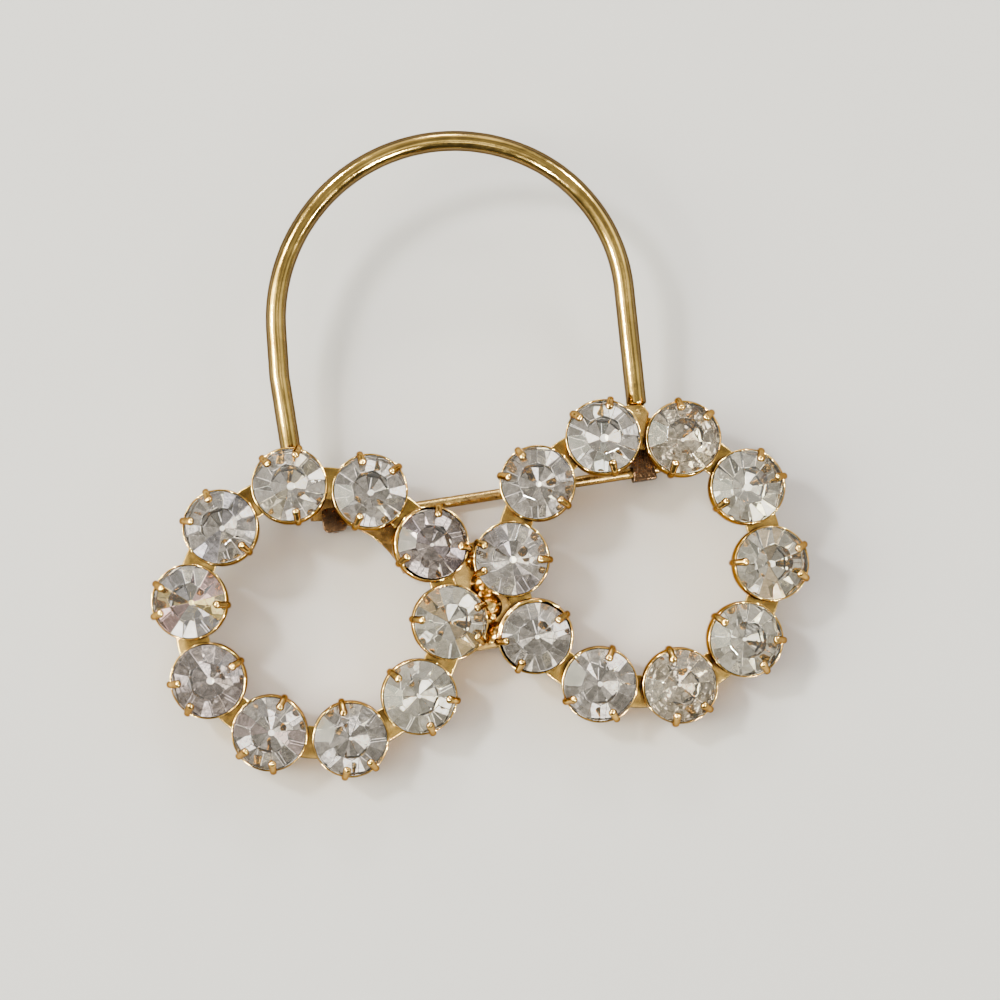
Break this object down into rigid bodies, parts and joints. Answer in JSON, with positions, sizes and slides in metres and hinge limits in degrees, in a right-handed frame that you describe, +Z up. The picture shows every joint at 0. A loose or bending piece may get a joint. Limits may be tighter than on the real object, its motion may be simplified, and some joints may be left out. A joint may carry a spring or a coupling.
{
  "type": "rhinestone brooch",
  "caption": "Gold-tone brooch of two rings of prong-set clear rhinestones side by side, with a bent wire arch above them to hang spectacles from, and a pin on the back",
  "frame": {"origin": "bottom centre of the box around the brooch as it rests on its back, on the lower edges of its rings and on its pin", "axes": "+X runs along the pair of rings, from the left ring to the right one as seen from the front; +Y runs towards the arch; +Z is up, out of the front. The plates are turned 7.4 degrees about X, because the pin lifts their upper side."},
  "size_m": [0.0474, 0.0451, 0.0074],
  "materials": {
    "gold_plate": "polished yellow gold plate on brass",
    "gold_finding": "duller gold plate on brass",
    "crystal": "clear cut glass with silver foil behind it"
  },
  "bodies": {
    "root": {"frame": "gold_plate", "pin_back": "gold_finding", "stone_left_1": "crystal", "stone_left_2": "crystal", "stone_left_3": "crystal", "stone_left_4": "crystal", "stone_left_5": "crystal", "stone_left_6": "crystal", "stone_left_7": "crystal", "stone_left_8": "crystal", "stone_left_9": "crystal", "stone_left_10": "crystal", "stone_right_1": "crystal", "stone_right_2": "crystal", "stone_right_3": "crystal", "stone_right_4": "crystal", "stone_right_5": "crystal", "stone_right_6": "crystal", "stone_right_7": "crystal", "stone_right_8": "crystal", "stone_right_9": "crystal", "stone_right_10": "crystal"}
  },
  "joints": []
}
